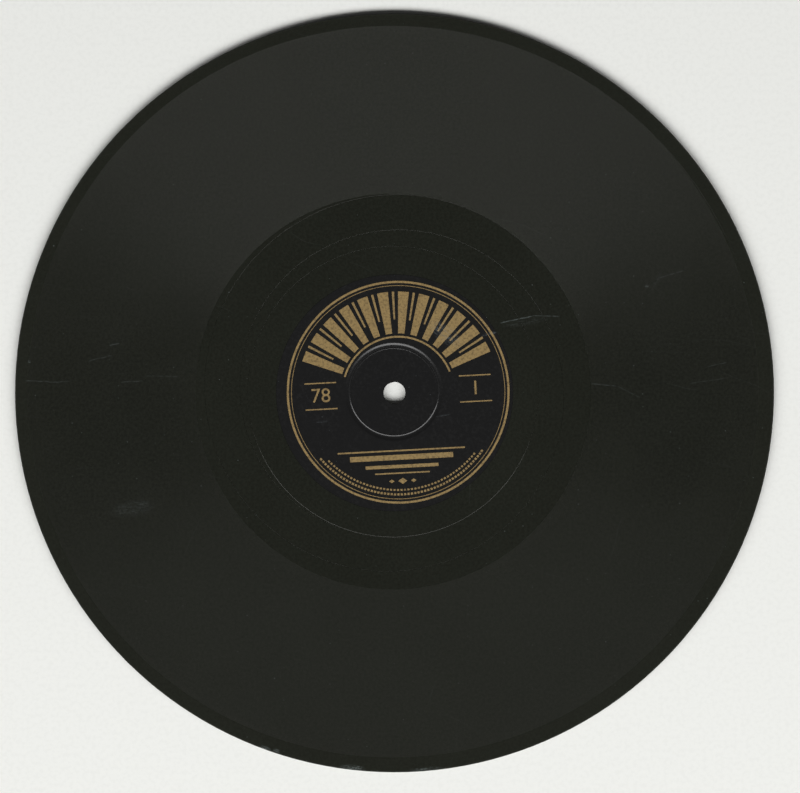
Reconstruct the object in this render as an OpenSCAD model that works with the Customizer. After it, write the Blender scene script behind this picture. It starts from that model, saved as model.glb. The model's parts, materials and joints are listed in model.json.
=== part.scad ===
// Ten-inch shellac gramophone record, pressed in layers and lying flat with side B down.
// Millimetres, +Z up. The spindle hole runs along Z and the underside lies on Z = 0.

/* [Disc] */
// Outside diameter of the disc
disc_d = 250; // [200:1:305]
// Thickness of the disc over its playing faces
disc_t = 2.2; // [2:0.1:3]
// Radius of the rounded edges at the rim
edge_round = 0.35; // [0.2:0.05:0.4]
// Diameter of the player's spindle that the hole drops over
spindle_d = 7.1; // [7:0.01:7.2]
// Radial clearance between the spindle and the hole
spindle_clearance = 0.08; // [0.05:0.01:0.2]

/* [Layers] */
// Thickness of each fine shellac playing face
facing_t = 0.5; // [0.45:0.05:0.6]
// Thickness of the paper bonded under each playing face
backing_t = 0.1; // [0.05:0.05:0.2]
// Width of the shellac that seals the paper's edge, at the rim and round the hole
edge_seal_w = 3; // [2:0.5:6]

/* [Grooves] */
// Width of the smooth margin from the rim to the groove field
margin_w = 4.5; // [3:0.5:10]
// Diameter of the inner end of the groove field
field_inner_d = 130.2; // [110:0.2:150]
// Distance from one groove turn to the next
groove_pitch = 0.254; // [0.22:0.002:0.4]
// Width of a groove at the surface
groove_w = 0.15; // [0.1:0.01:0.18]
// Depth of a groove
groove_depth = 0.06; // [0.03:0.01:0.08]
// Diameter of the closed stop groove in the run-out
stop_groove_d = 95.8; // [90:0.2:104]

/* [Labels] */
// Diameter of each paper label
label_d = 78; // [70:1:86]
// Thickness of each paper label
label_t = 0.12; // [0.08:0.02:0.16]
// Depth of a label's face below the playing face
label_sink = 0.03; // [0.01:0.01:0.06]
// Clearance round and under each label in its recess
label_fit = 0.05; // [0.02:0.01:0.08]
// Diameter of the ring that the die presses into the label
die_ring_d = 30; // [24:0.5:40]
// Width of the die ring
die_ring_w = 1.8; // [1:0.1:2.4]
// Depth of the die ring
die_ring_depth = 0.2; // [0.05:0.01:0.22]

/* [Hidden] */
$fn = 192;

// Radii
disc_r = disc_d / 2;
bore_r = spindle_d / 2 + spindle_clearance;
backing_outer_r = disc_r - edge_seal_w;
backing_inner_r = bore_r + edge_seal_w;
label_r = label_d / 2;
recess_r = label_r + label_fit;
die_ring_r = die_ring_d / 2;
stop_groove_r = stop_groove_d / 2;
field_outer_r = disc_r - margin_w;
field_inner_r = field_inner_d / 2;
groove_turns = floor((field_outer_r - field_inner_r) / groove_pitch);

// Each rounded edge is drawn in this many steps
edge_steps = 8;

// Heights above the middle of the disc
face_z = disc_t / 2;
facing_back_z = face_z - facing_t;
backing_back_z = facing_back_z - backing_t;
label_z = face_z - label_sink;
label_back_z = label_z - label_t;
seat_z = label_back_z - label_fit;

shellac_black = [0.11, 0.11, 0.10];
core_brown = [0.20, 0.18, 0.15];
backing_buff = [0.55, 0.47, 0.35];
label_black = [0.06, 0.06, 0.06];

// Points of the rounded edge, from the straight side of the rim up to the playing face
function rounded_edge() = [
    for (step = [0 : edge_steps])
        let (angle = 90 * step / edge_steps)
        [disc_r - edge_round * (1 - cos(angle)), face_z - edge_round * (1 - sin(angle))]
];

// A V cut into a surface at height z, from its outer lip to its inner lip
function v_cut(r, w, depth, z) = [[r + w / 2, z], [r, z - depth], [r - w / 2, z]];
function groove(r) = v_cut(r, groove_w, groove_depth, face_z);
function die_ring(z) = v_cut(die_ring_r, die_ring_w, die_ring_depth, z);

function groove_field() = [
    for (turn = [0 : groove_turns - 1])
        each groove(field_outer_r - (turn + 0.5) * groove_pitch)
];

function backwards(points) = [for (i = [len(points) - 1 : -1 : 0]) points[i]];

// A full turn of a half section about the spindle axis
module turned(half_section) {
    rotate_extrude() polygon(half_section);
}

module on_side_a() {
    translate([0, 0, face_z]) children();
}

module on_side_b() {
    translate([0, 0, face_z]) mirror([0, 0, 1]) children();
}

// A paper ring, closed in between the core and the facing
module backing_paper() {
    turned([
        [backing_inner_r, backing_back_z],
        [backing_outer_r, backing_back_z],
        [backing_outer_r, facing_back_z],
        [backing_inner_r, facing_back_z]
    ]);
}

// The facing reaches down past the paper's edges to the core
module playing_face() {
    turned(concat(
        [[bore_r, backing_back_z], [backing_inner_r, backing_back_z]],
        [[backing_inner_r, facing_back_z], [backing_outer_r, facing_back_z]],
        [[backing_outer_r, backing_back_z], [disc_r, backing_back_z]],
        rounded_edge(),
        groove_field(),
        groove(stop_groove_r),
        [[recess_r, face_z], [recess_r, seat_z]],
        die_ring(seat_z),
        [[bore_r, seat_z]]
    ));
}

module label() {
    turned(concat(
        [[bore_r, label_back_z]],
        backwards(die_ring(label_back_z)),
        [[label_r, label_back_z], [label_r, label_z]],
        die_ring(label_z),
        [[bore_r, label_z]]
    ));
}

module core_disc() {
    color(core_brown) on_side_a() turned([
        [bore_r, -backing_back_z],
        [disc_r, -backing_back_z],
        [disc_r, backing_back_z],
        [bore_r, backing_back_z]
    ]);
}

module backing_paper_a() {
    color(backing_buff) on_side_a() backing_paper();
}

module backing_paper_b() {
    color(backing_buff) on_side_b() backing_paper();
}

module playing_face_a() {
    color(shellac_black) on_side_a() playing_face();
}

module playing_face_b() {
    color(shellac_black) on_side_b() playing_face();
}

module label_a() {
    color(label_black) on_side_a() label();
}

module label_b() {
    color(label_black) on_side_b() label();
}

core_disc();
backing_paper_a();
backing_paper_b();
playing_face_a();
playing_face_b();
label_a();
label_b();
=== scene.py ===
# %% [markdown]
# A ten-inch shellac record, seen from straight above.
#
# The layers of the record already exist as solids at their real size: a core, two backing papers, two
# playing faces and two labels. They are the fixed frame of this scene. The lesson dresses them: it cuts
# the spiral groove, lays the paper labels and their gold print, and gives every surface its finish.

# %% Load the solids
import json
import math

import bmesh
import bpy
from mathutils import Matrix, Vector, noise


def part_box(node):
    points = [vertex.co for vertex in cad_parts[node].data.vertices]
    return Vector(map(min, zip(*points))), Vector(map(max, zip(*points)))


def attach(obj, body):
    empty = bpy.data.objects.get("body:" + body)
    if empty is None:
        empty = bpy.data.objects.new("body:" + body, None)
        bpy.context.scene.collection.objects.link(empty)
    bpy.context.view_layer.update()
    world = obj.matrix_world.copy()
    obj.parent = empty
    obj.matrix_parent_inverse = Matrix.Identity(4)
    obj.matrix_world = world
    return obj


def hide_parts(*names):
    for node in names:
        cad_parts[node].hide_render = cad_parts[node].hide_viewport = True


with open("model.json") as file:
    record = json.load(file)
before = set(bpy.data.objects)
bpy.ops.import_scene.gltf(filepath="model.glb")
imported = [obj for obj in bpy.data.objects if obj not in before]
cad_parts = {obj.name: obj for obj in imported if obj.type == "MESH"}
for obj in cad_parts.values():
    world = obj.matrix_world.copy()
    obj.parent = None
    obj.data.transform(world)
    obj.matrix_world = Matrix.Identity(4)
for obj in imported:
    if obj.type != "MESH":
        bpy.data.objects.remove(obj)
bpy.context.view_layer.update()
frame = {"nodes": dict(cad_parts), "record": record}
print("solids:", sorted(frame["nodes"]))

# %% [markdown]
# Blender works in metres, and a record is a matter of millimetres and hundredths of them. The outer sizes
# are read from the solids, so the dressing always fits them. Sizes that the solids don't hold, such as
# the run-out, are written in millimetres here, as measured on the real disc.

# %% Sizes
MM = 0.001
FULL_TURN = 2 * math.pi


def top_corner(node):
    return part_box(node)[1]


DISC_R = top_corner("core_disc").x
CORE_TOP = top_corner("core_disc").z
PAPER_R = top_corner("backing_paper_a").x
PAPER_TOP = top_corner("backing_paper_a").z
FACE_Z = top_corner("playing_face_a").z
LABEL_R = top_corner("label_a").x
LABEL_Z = top_corner("label_a").z
LABEL_T = 0.12 * MM
LABEL_FIT = 0.05 * MM
RECESS_R = LABEL_R + LABEL_FIT
EDGE_ROUND = 0.35 * MM
RIM_LAND = 0.1 * MM
MARGIN_R = DISC_R - EDGE_ROUND - RIM_LAND
FIELD_OUTER_R = 120.5 * MM
FIELD_INNER_R = 65.1 * MM
FIELD_OFF_CENTRE = (-0.50 * MM, 0.36 * MM, 0.0)
MOUNTS = {mount["name"]: mount for mount in frame["record"]["mounts"]}
BORE_R = MOUNTS["spindle_bore"]["dims"]["r_mm"] * MM
print(f"disc {2 * DISC_R / MM:.1f} mm across, {FACE_Z / MM:.2f} mm thick, hole {2 * BORE_R / MM:.2f} mm")

# %% [markdown]
# Node trees are formulas drawn as boxes. Adding every box by hand would bury the formula, so a Wire stands
# for a value on its way through a tree, and arithmetic on it adds the Math nodes. The same class serves
# Geometry Nodes and shaders, because both use the same Math node.

# %% Wires that do arithmetic


def plug(socket, value):
    """Feeds a node's input from a wire, or sets a plain value on it."""
    if isinstance(value, Wire):
        socket.id_data.links.new(value.socket, socket)
    else:
        socket.default_value = value


def add_node(tree, kind, inputs=None, **settings):
    node = tree.nodes.new(kind)
    for name, value in settings.items():
        setattr(node, name, value)
    for name, value in (inputs or {}).items():
        plug(node.inputs[name], value)
    return node


def add_wire(tree, kind, inputs=None, output=0, **settings):
    """Adds a node and returns the wire from one of its outputs."""
    return Wire(add_node(tree, kind, inputs, **settings).outputs[output])


def maths(tree, operation, *values):
    node = tree.nodes.new("ShaderNodeMath")
    node.operation = operation
    for socket, value in zip(node.inputs, values):
        plug(socket, value)
    return Wire(node.outputs[0])


class Wire:
    """A value in a node tree. Arithmetic on it adds Math nodes to that tree."""

    def __init__(self, socket):
        self.socket = socket
        self.tree = socket.id_data

    def maths(self, operation, *others):
        return maths(self.tree, operation, self, *others)

    def __add__(self, other):
        return self.maths("ADD", other)

    def __sub__(self, other):
        return self.maths("SUBTRACT", other)

    def __rsub__(self, other):
        return maths(self.tree, "SUBTRACT", other, self)

    def __mul__(self, other):
        return self.maths("MULTIPLY", other)

    def __truediv__(self, other):
        return self.maths("DIVIDE", other)

    def power(self, exponent):
        return self.maths("POWER", exponent)

    def least(self, other):
        return self.maths("MINIMUM", other)

    def most(self, other):
        return self.maths("MAXIMUM", other)

    def held(self, low, high):
        return self.most(low).least(high)

    def size(self):
        return self.maths("ABSOLUTE")

    __radd__ = __add__


def ramp(value, low, high):
    """0 below low, 1 above high, and a smooth rise between. With low above high it falls instead."""
    inputs = {"Value": value, "From Min": low, "From Max": high, "To Min": 0.0, "To Max": 1.0}
    return add_wire(value.tree, "ShaderNodeMapRange", inputs, interpolation_type="SMOOTHSTEP")


def split(vector):
    node = add_node(vector.tree, "ShaderNodeSeparateXYZ", {"Vector": vector})
    return [Wire(output) for output in node.outputs]


def join(x, y, z):
    tree = next(w.tree for w in (x, y, z) if isinstance(w, Wire))
    node = tree.nodes.new("ShaderNodeCombineXYZ")
    for socket, value in zip(node.inputs, (x, y, z)):
        plug(socket, value)
    return Wire(node.outputs[0])


def new_tree(name, kind, inputs, outputs):
    """A node group with named sockets: returns the tree, its input wires and its output node."""
    tree = bpy.data.node_groups.new(name, kind)
    for way, sockets in (("INPUT", inputs), ("OUTPUT", outputs)):
        for label, (socket_kind, default) in sockets.items():
            socket = tree.interface.new_socket(label, in_out=way, socket_type="NodeSocket" + socket_kind)
            if default is not None:
                socket.default_value = default
    entry = tree.nodes.new("NodeGroupInput")
    wires = {label: Wire(entry.outputs[label]) for label in inputs}
    return tree, wires, tree.nodes.new("NodeGroupOutput")


print("node helpers ready")

# %% [markdown]
# Wear is what makes an old record look handled: fine hairlines in all directions, dust, a few long
# scratches and scuffs at places of their own. Shellac, label paper and gold ink all share it, so each
# kind of mark is a shader node group that puts out a mask, and the materials decide what a mark does.
# Everything reads Object coordinates, which here are metres on the disc, so a mark lies where it is put.

# %% Mask group: hairlines
BEND_SCALE = 22.0
BEND_SIZE = 0.02
GAP_SCALE = 26.0
GAP_FADE = 0.08
LANE_SCATTER = 12.9898
LANE_SHIFT = 0.42
LANE_STEP = 7.31


def noise_wire(tree, vector, scale):
    """The grey value of a noise texture."""
    return add_wire(tree, "ShaderNodeTexNoise", {"Vector": vector, "Scale": scale}, "Fac")


def hairlines_group():
    """Thin, nearly straight scratches that fade in and out, in one main direction."""
    tree, wires, out = new_tree(
        "hairline_scratches",
        "ShaderNodeTree",
        {"Vector": ("Vector", None), "Turn": ("Float", 0.0), "Spacing": ("Float", 0.004),
         "Width": ("Float", 0.02), "Kept": ("Float", 0.35)},
        {"Mask": ("Float", None)},
    )
    turned = add_wire(tree, "ShaderNodeVectorRotate", {"Vector": wires["Vector"], "Angle": wires["Turn"]},
                      rotation_type="Z_AXIS")
    x, y, _ = split(turned)
    bend = noise_wire(tree, wires["Vector"], BEND_SCALE)
    across = (y + (bend - 0.5) * BEND_SIZE) / wires["Spacing"]
    lane = across.maths("FLOOR")
    offset = (lane * LANE_SCATTER).maths("SINE") * LANE_SHIFT
    line = ramp((across - lane - 0.5 - offset).size(), wires["Width"], 0.0)
    gate = noise_wire(tree, join(x, lane * LANE_STEP, 0.0), GAP_SCALE)
    shown = ramp(gate, 1.0 - wires["Kept"], 1.0 + GAP_FADE - wires["Kept"])
    plug(out.inputs["Mask"], line * shown)
    return tree


HAIRLINES = hairlines_group()
print("mask group:", HAIRLINES.name)

# %% Mask group: dust
SPECK_FADE = 0.01
SPECK_FAINTEST = 0.3
SPECK_SMALLEST = 0.035
SPECK_GROWTH = 0.06
SPECK_CORE = 0.01


def dust_group():
    """Small pale specks of uneven size and strength, one to a cell at most."""
    tree, wires, out = new_tree(
        "dust_specks",
        "ShaderNodeTree",
        {"Vector": ("Vector", None), "Scale": ("Float", 300.0), "Kept": ("Float", 0.1)},
        {"Mask": ("Float", None)},
    )
    cells = add_node(tree, "ShaderNodeTexVoronoi", {"Vector": wires["Vector"], "Scale": wires["Scale"]},
                     voronoi_dimensions="2D")
    distance, colour = Wire(cells.outputs["Distance"]), Wire(cells.outputs["Color"])
    red, green, blue = split(colour)
    kept = ramp(red, 1.0 - wires["Kept"], 1.0 + SPECK_FADE - wires["Kept"])
    strength = kept * (SPECK_FAINTEST + blue * blue * (1.0 - SPECK_FAINTEST))
    spot = ramp(distance, SPECK_SMALLEST + green * SPECK_GROWTH, SPECK_CORE)
    plug(out.inputs["Mask"], strength * spot)
    return tree


DUST = dust_group()
print("mask group:", DUST.name)

# %% Mask group: one scratch
SWAY_SCALE = 160.0
BREAK_SCALE = 420.0
BREAK_LANE = 0.3
FULL_FROM = 0.08
FULL_TO = 0.85
MARK_INPUTS = {
    "Vector": ("Vector", None), "Start": ("Vector", None), "Turn": ("Float", 0.0),
    "Length": ("Float", 0.02), "Width": ("Float", 0.0002), "Waver": ("Float", 0.0),
}


def along_and_across(tree, wires):
    """Distances along and across a mark that starts at a place and runs in a direction."""
    moved = add_wire(tree, "ShaderNodeVectorMath", {0: wires["Vector"], 1: wires["Start"]},
                     operation="SUBTRACT")
    turned = add_wire(tree, "ShaderNodeVectorRotate", {"Vector": moved, "Angle": wires["Turn"]},
                      rotation_type="Z_AXIS", invert=True)
    x, y, _ = split(turned)
    return x, y


def scratch_group():
    """One long scratch: a thin line that wavers and thins out at its ends."""
    tree, wires, out = new_tree("long_scratch", "ShaderNodeTree", MARK_INPUTS, {"Mask": ("Float", None)})
    x, y = along_and_across(tree, wires)
    sway = noise_wire(tree, join(x, 0.0, 0.0), SWAY_SCALE)
    broken = noise_wire(tree, join(x, BREAK_LANE, 0.0), BREAK_SCALE)
    line = ramp((y + (sway - 0.5) * wires["Waver"]).size(), wires["Width"], 0.0)
    share = x / wires["Length"]
    ends = ramp(share, 0.0, FULL_FROM) * ramp(share, 1.0, FULL_TO)
    plug(out.inputs["Mask"], line * ends * ramp(broken, 0.33, 0.55))
    return tree


SCRATCH = scratch_group()
print("mask group:", SCRATCH.name)

# %% Mask group: one scuff
STREAKS_ALONG = 260.0
STREAKS_ACROSS = 2600.0
SCUFF_GRAIN_SCALE = 1400.0


def scuff_group():
    """A rubbed patch: soft streaks along one direction, densest in the middle."""
    tree, wires, out = new_tree("rubbed_scuff", "ShaderNodeTree", MARK_INPUTS, {"Mask": ("Float", None)})
    x, y = along_and_across(tree, wires)
    share = x / wires["Length"] - 0.5
    body = ramp(share.power(2.0) * 4.0 + (y / wires["Width"]).power(2.0), 1.0, 0.0)
    streaks = noise_wire(tree, join(x * STREAKS_ALONG, y * STREAKS_ACROSS, 0.0), 1.0)
    grains = noise_wire(tree, wires["Vector"], SCUFF_GRAIN_SCALE)
    plug(out.inputs["Mask"], body * ramp(streaks, 0.30, 0.80) * ramp(grains, 0.25, 0.75))
    return tree


SCUFF = scuff_group()
print("mask group:", SCUFF.name)

# %% [markdown]
# The marks that show on this disc are placed one by one, each with its start on the disc in millimetres
# from the hole, its direction in degrees, its length and its width. A mark that is drawn this way can be
# moved or taken out by changing one line. The chips at the rim are rubbed patches too, laid along the edge.

# %% Places of the marks
# start x, start y, direction, length, width, waver (in mm and degrees), and strength
SHELLAC_SCRATCHES = {
    "beside_label_upper": (34.6, 22.9, 13, 11.5, 0.28, 0.9, 0.34),
    "beside_label_upper_end": (45.2, 25.4, -1, 9.6, 0.26, 0.5, 0.18),
    "beside_label_lower": (64.6, 3.0, -5, 8.9, 0.28, 0.6, 0.16),
    "beside_label_lower_end": (73.2, 2.3, -27, 8.9, 0.28, 0.5, 0.09),
    "right_field_upper": (103.1, 8.5, 14, 7.2, 0.26, 1.6, 0.13),
    "right_field_lower": (96.9, 3.0, 9, 12.9, 0.26, 0.8, 0.09),
    "right_upper": (86.4, 37.6, 17, 9.7, 0.28, 0.5, 0.14),
    "left_margin": (-122.0, 3.9, -1, 15.6, 0.26, 1.8, 0.15),
    "left_field_rise": (-101.0, 10.3, 15, 8.5, 0.26, 2.2, 0.16),
    "left_field_short": (-94.0, 15.6, 10, 3.6, 0.28, 1.4, 0.28),
    "left_field_low": (-90.3, 3.4, 4, 7.8, 0.26, 2.4, 0.15),
    "left_field_far": (-82.4, 5.5, 0, 12.0, 0.26, 1.2, 0.09),
}
SHELLAC_SCUFFS = {
    "beside_label": (33.5, 21.6, 10, 20.0, 1.5, 0.0, 0.12),
    "left_lower": (-95.0, -39.5, 9, 17.0, 3.2, 0.0, 0.20),
    "left_lower_core": (-85.2, -36.6, 6, 4.6, 0.95, 0.0, 0.42),
    "upper_right": (84.0, 33.0, 60, 9.0, 1.0, 0.0, 0.14),
    "speck_right": (82.4, 35.0, 15, 1.5, 0.55, 0.0, 0.90),
    "speck_left": (-120.9, 10.3, 0, 1.2, 0.55, 0.0, 1.00),
    "rim_chip_short": (-44.4, -116.3, -20, 4.2, 0.85, 0.0, 0.95),
    "rim_chip_deep": (-40.1, -117.5, -18, 2.7, 0.75, 0.0, 0.90),
    "rim_chip_long": (-18.6, -122.9, -6.4, 9.8, 1.05, 0.0, 0.90),
    "rim_chip_faint": (3.6, -124.4, 4.5, 13.5, 0.7, 0.0, 0.50),
}
LABEL_SCUFFS = {
    "upper_right": (10.3, 24.6, -38, 16.0, 3.4, 0.0, 0.42),
    "right_edge": (28.0, 18.6, 15, 7.5, 0.6, 0.0, 0.40),
    "beside_die_ring": (12.9, -7.9, 9, 6.0, 0.35, 0.0, 0.30),
    "left_low": (-27.0, -9.7, 3, 5.8, 0.40, 0.0, 0.20),
}


def mask_of(tree, group, vector, **values):
    """The mask that a group puts out, with its inputs set by name."""
    node = add_node(tree, "ShaderNodeGroup", {"Vector": vector}, node_tree=group)
    for name, value in values.items():
        plug(node.inputs[name.title()], value)
    return Wire(node.outputs["Mask"])


def placed_marks(tree, vector, group, places, height):
    """The strongest of several marks of one kind."""
    mask = None
    for x, y, turn, length, width, waver, strength in places.values():
        mark = mask_of(tree, group, vector, start=(x * MM, y * MM, height), turn=math.radians(turn),
                       length=length * MM, width=width * MM, waver=waver * MM)
        found = mark * strength
        mask = found if mask is None else mask.most(found)
    return mask


scuffs_placed = len(SHELLAC_SCUFFS) + len(LABEL_SCUFFS)
print("placed:", len(SHELLAC_SCRATCHES), "scratches and", scuffs_placed, "scuffs and chips")

# %% [markdown]
# A material starts with a Principled BSDF. What is the same all over, such as the index of refraction, is
# set on the shader itself. What changes over the surface, such as colour and roughness, comes from nodes.

# %% Material helpers


def new_material(name):
    """Returns a material with a Principled BSDF, its tree, the shader and Object coordinates."""
    material = bpy.data.materials.new(name)
    material.use_nodes = True
    tree = material.node_tree
    shader = tree.nodes["Principled BSDF"]
    place = Wire(tree.nodes.new("ShaderNodeTexCoord").outputs["Object"])
    return material, tree, shader, place


def dress(mesh, material):
    """Gives a mesh this material alone."""
    mesh.materials.clear()
    mesh.materials.append(material)


def blend_colours(factor, first, second):
    """The first colour where the factor is 0, the second where it is 1."""
    node = factor.tree.nodes.new("ShaderNodeMix")
    node.data_type = "RGBA"
    colours = [socket for socket in node.inputs if socket.type == "RGBA"]
    plug(node.inputs[0], factor)
    for socket, colour in zip(colours, (first, second)):
        plug(socket, colour if isinstance(colour, Wire) else (*colour, 1.0))
    return Wire(next(socket for socket in node.outputs if socket.type == "RGBA"))


def bumped(shader, height, distance, strength):
    """Bumps the surface by a height that is counted in this distance."""
    inputs = {"Height": height, "Distance": distance, "Strength": strength}
    plug(shader.inputs["Normal"], add_wire(shader.id_data, "ShaderNodeBump", inputs, "Normal"))


print("material helpers ready")

# %% [markdown]
# Pressed shellac is a hard resin full of mineral dust and lampblack. It is nearly black with an olive cast,
# semi-gloss where it is smooth, and every scratch shows pale because it breaks the resin into powder. The
# gloss of the groove walls comes from the mesh. The material adds fine grain, a little dust on the margin,
# and the wear. In the groove field it lightens the colour: partly dust, and partly painted light that makes
# up for the shade of the steep groove walls. The groove field is a little duller than the smooth parts,
# because needles have run in it. Wiping marks show at the left and right, where they cross the grooves.

# %% Groove field and margin
FIELD_EDGE = 0.15 * MM


def field_and_margin(place, on_top):
    """Masks of the groove field of either side, which lies off centre, and of the margin round it."""
    x, y, _ = split(place)
    dx, dy = x - FIELD_OFF_CENTRE[0], y - (on_top * 2.0 - 1.0) * FIELD_OFF_CENTRE[1]
    radius = (dx * dx + dy * dy).power(0.5)
    margin = ramp(radius, FIELD_OUTER_R - FIELD_EDGE, FIELD_OUTER_R + FIELD_EDGE)
    field = ramp(radius, FIELD_INNER_R - FIELD_EDGE, FIELD_INNER_R + FIELD_EDGE) - margin
    return field, margin


print(f"groove field from {2 * FIELD_INNER_R / MM:.1f} to {2 * FIELD_OUTER_R / MM:.1f} mm across")

# %% Wear of the shellac
# direction in radians, spacing, width as a share of the spacing, and how much of each line is kept
LONG_HAIRLINES = {"turn": 0.35, "spacing": 4.5 * MM, "width": 0.030, "kept": 0.37}
CROSS_HAIRLINES = {"turn": 1.9, "spacing": 6.0 * MM, "width": 0.024, "kept": 0.35}
WIPING_MARKS = {"turn": 0.06, "spacing": 2.4 * MM, "width": 0.075, "kept": 0.40}
SHELLAC_DUST = {"scale": 330.0, "kept": 0.055}
HAIRLINE_STRENGTH = 0.065
WIPING_STRENGTH = 0.03
DUST_STRENGTH = 0.6
WIPED_FROM = 55 * MM
WIPED_TO = 95 * MM


def shellac_wear(tree, place, x, on_top, side_height):
    """How far the surface is broken to powder. The placed marks lie on side A alone."""
    hairlines = mask_of(tree, HAIRLINES, place, **LONG_HAIRLINES)
    hairlines = hairlines.most(mask_of(tree, HAIRLINES, place, **CROSS_HAIRLINES))
    scratches = placed_marks(tree, place, SCRATCH, SHELLAC_SCRATCHES, side_height) * on_top
    scuffs = placed_marks(tree, place, SCUFF, SHELLAC_SCUFFS, side_height) * on_top
    dust = mask_of(tree, DUST, place, **SHELLAC_DUST)
    wiped = mask_of(tree, HAIRLINES, place, **WIPING_MARKS)
    wiped = wiped * ramp(x.size(), WIPED_FROM, WIPED_TO)
    marks = scratches.most(scuffs).most(hairlines * HAIRLINE_STRENGTH)
    return marks.most(wiped * WIPING_STRENGTH).most(dust * DUST_STRENGTH)


print(f"wiping marks grow from {WIPED_FROM / MM:.0f} to {WIPED_TO / MM:.0f} mm left and right of the hole")

# %% Shellac
SHELLAC_DARK = (0.0099, 0.0107, 0.0078)
SHELLAC_GRAIN = (0.0150, 0.0163, 0.0122)
POWDER = (0.17, 0.20, 0.195)
# A pale colour for the groove field and the margin. In the field it is partly dust and partly painted
# light, which makes up for the shade of the steep groove walls; on the margin it is dust.
PALE_DUST_AND_PAINTED_LIGHT = (0.195, 0.195, 0.155)
GROOVE_PAINTED_LIGHT_AND_DUST_SHARE = 0.014
MARGIN_DUST_SHARE = 0.007
OLIVE_SHEEN = (1.0, 1.0, 0.96, 1.0)
SHELLAC_IOR = 1.52
SHELLAC_GLOSS = 0.245
SHELLAC_ROUGHNESS = 0.18
CLOUD_DULLNESS = 0.06
GROOVE_DULLNESS = 0.09
MARK_DULLNESS = 0.5
RIM_DULLNESS = 0.75
DULL_RIM_FROM = DISC_R - 0.42 * MM
DULL_RIM_TO = DISC_R - 0.30 * MM
CLOUD_SCALE = 38.0
GRAIN_SCALE = 1100.0
GRAIN_SHARE = 0.85
GRAIN_HEIGHT = 0.005 * MM


def shellac_material(side_height):
    material, tree, shader, place = new_material("pressed_shellac")
    x, y, z = split(place)
    on_top = ramp(z, FACE_Z * 0.5, FACE_Z * 0.6)
    clouds = noise_wire(tree, place, CLOUD_SCALE)
    grain_inputs = {"Vector": place, "Scale": GRAIN_SCALE, "Detail": 4.0, "Roughness": 0.7}
    grain = add_wire(tree, "ShaderNodeTexNoise", grain_inputs, "Fac", noise_dimensions="2D")
    specks = ramp(grain, 0.3, 0.7)
    mottle = specks * GRAIN_SHARE + ramp(clouds, 0.35, 0.7) * (1.0 - GRAIN_SHARE)
    body = blend_colours(mottle, SHELLAC_DARK, SHELLAC_GRAIN)
    field, margin = field_and_margin(place, on_top)
    # Painted light with some dust in the groove field, lightening it against the shade of its walls; a
    # little dust on the margin.
    dust_and_painted_light = field * specks * GROOVE_PAINTED_LIGHT_AND_DUST_SHARE + margin * MARGIN_DUST_SHARE
    body = blend_colours(dust_and_painted_light, body, PALE_DUST_AND_PAINTED_LIGHT)
    marks = shellac_wear(tree, place, x, on_top, side_height)
    plug(shader.inputs["Base Color"], blend_colours(marks, body, POWDER))

    radius = (x * x + y * y).power(0.5)
    dull_rim = ramp(radius, DULL_RIM_FROM, DULL_RIM_TO)
    rough = clouds * CLOUD_DULLNESS + SHELLAC_ROUGHNESS + field * GROOVE_DULLNESS
    rough = rough + marks * MARK_DULLNESS + dull_rim * RIM_DULLNESS
    plug(shader.inputs["Roughness"], rough.held(0.15, 0.95))
    shader.inputs["IOR"].default_value = SHELLAC_IOR
    shader.inputs["Specular IOR Level"].default_value = SHELLAC_GLOSS
    shader.inputs["Specular Tint"].default_value = OLIVE_SHEEN
    bumped(shader, grain, GRAIN_HEIGHT, strength=0.35)
    return material


SHELLAC = shellac_material(FACE_Z)
print("made", SHELLAC.name)

# %% [markdown]
# The core under the facing is a cheaper mix of the same resin with ground stone. It shows only as a band
# round the rim and in the hole, where the press left it dull and grainy. The backing papers are sealed
# inside, so their finish is seen only when the layers are taken apart.

# %% Core
CORE_DARK = (0.0150, 0.0145, 0.0118)
CORE_GRAIN = (0.045, 0.041, 0.034)
CORE_DUST = {"scale": 420.0, "kept": 0.10}
CORE_GRAIN_SCALE = 2600.0
CORE_GRAIN_HEIGHT = 0.03 * MM
CORE_PATCH_SCALE = 190.0
CORE_ROUGHNESS = 0.48


def core_material():
    material, tree, shader, place = new_material("core_compound")
    grain_inputs = {"Vector": place, "Scale": CORE_GRAIN_SCALE}
    grains = add_wire(tree, "ShaderNodeTexVoronoi", grain_inputs, "Distance")
    patches = noise_wire(tree, place, CORE_PATCH_SCALE)
    dust = mask_of(tree, DUST, place, **CORE_DUST)
    speckle = ramp(grains, 0.42, 0.10) * ramp(patches, 0.40, 0.62) * 0.5
    plug(shader.inputs["Base Color"], blend_colours(speckle.most(dust * 0.3), CORE_DARK, CORE_GRAIN))
    plug(shader.inputs["Roughness"], patches * 0.2 + CORE_ROUGHNESS)
    bumped(shader, grains, CORE_GRAIN_HEIGHT, strength=0.5)
    return material


CORE = core_material()
dress(frame["nodes"]["core_disc"].data, CORE)
print("made", CORE.name)

# %% Backing paper
BACKING_BUFF = (0.27, 0.20, 0.12)
BACKING_FIBRE = (0.19, 0.13, 0.07)
BACKING_ROUGHNESS = 0.8
FIBRE_SCALE = 900.0
FIBRE_STRETCH = 7.0
FIBRE_HEIGHT = 0.02 * MM


def backing_material():
    material, tree, shader, place = new_material("buff_backing_paper")
    x, y, z = split(place)
    fibres = noise_wire(tree, join(x, y * FIBRE_STRETCH, z), FIBRE_SCALE)
    plug(shader.inputs["Base Color"], blend_colours(ramp(fibres, 0.35, 0.7), BACKING_BUFF, BACKING_FIBRE))
    plug(shader.inputs["Roughness"], fibres * 0.15 + BACKING_ROUGHNESS)
    bumped(shader, fibres, FIBRE_HEIGHT, strength=0.4)
    return material


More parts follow.
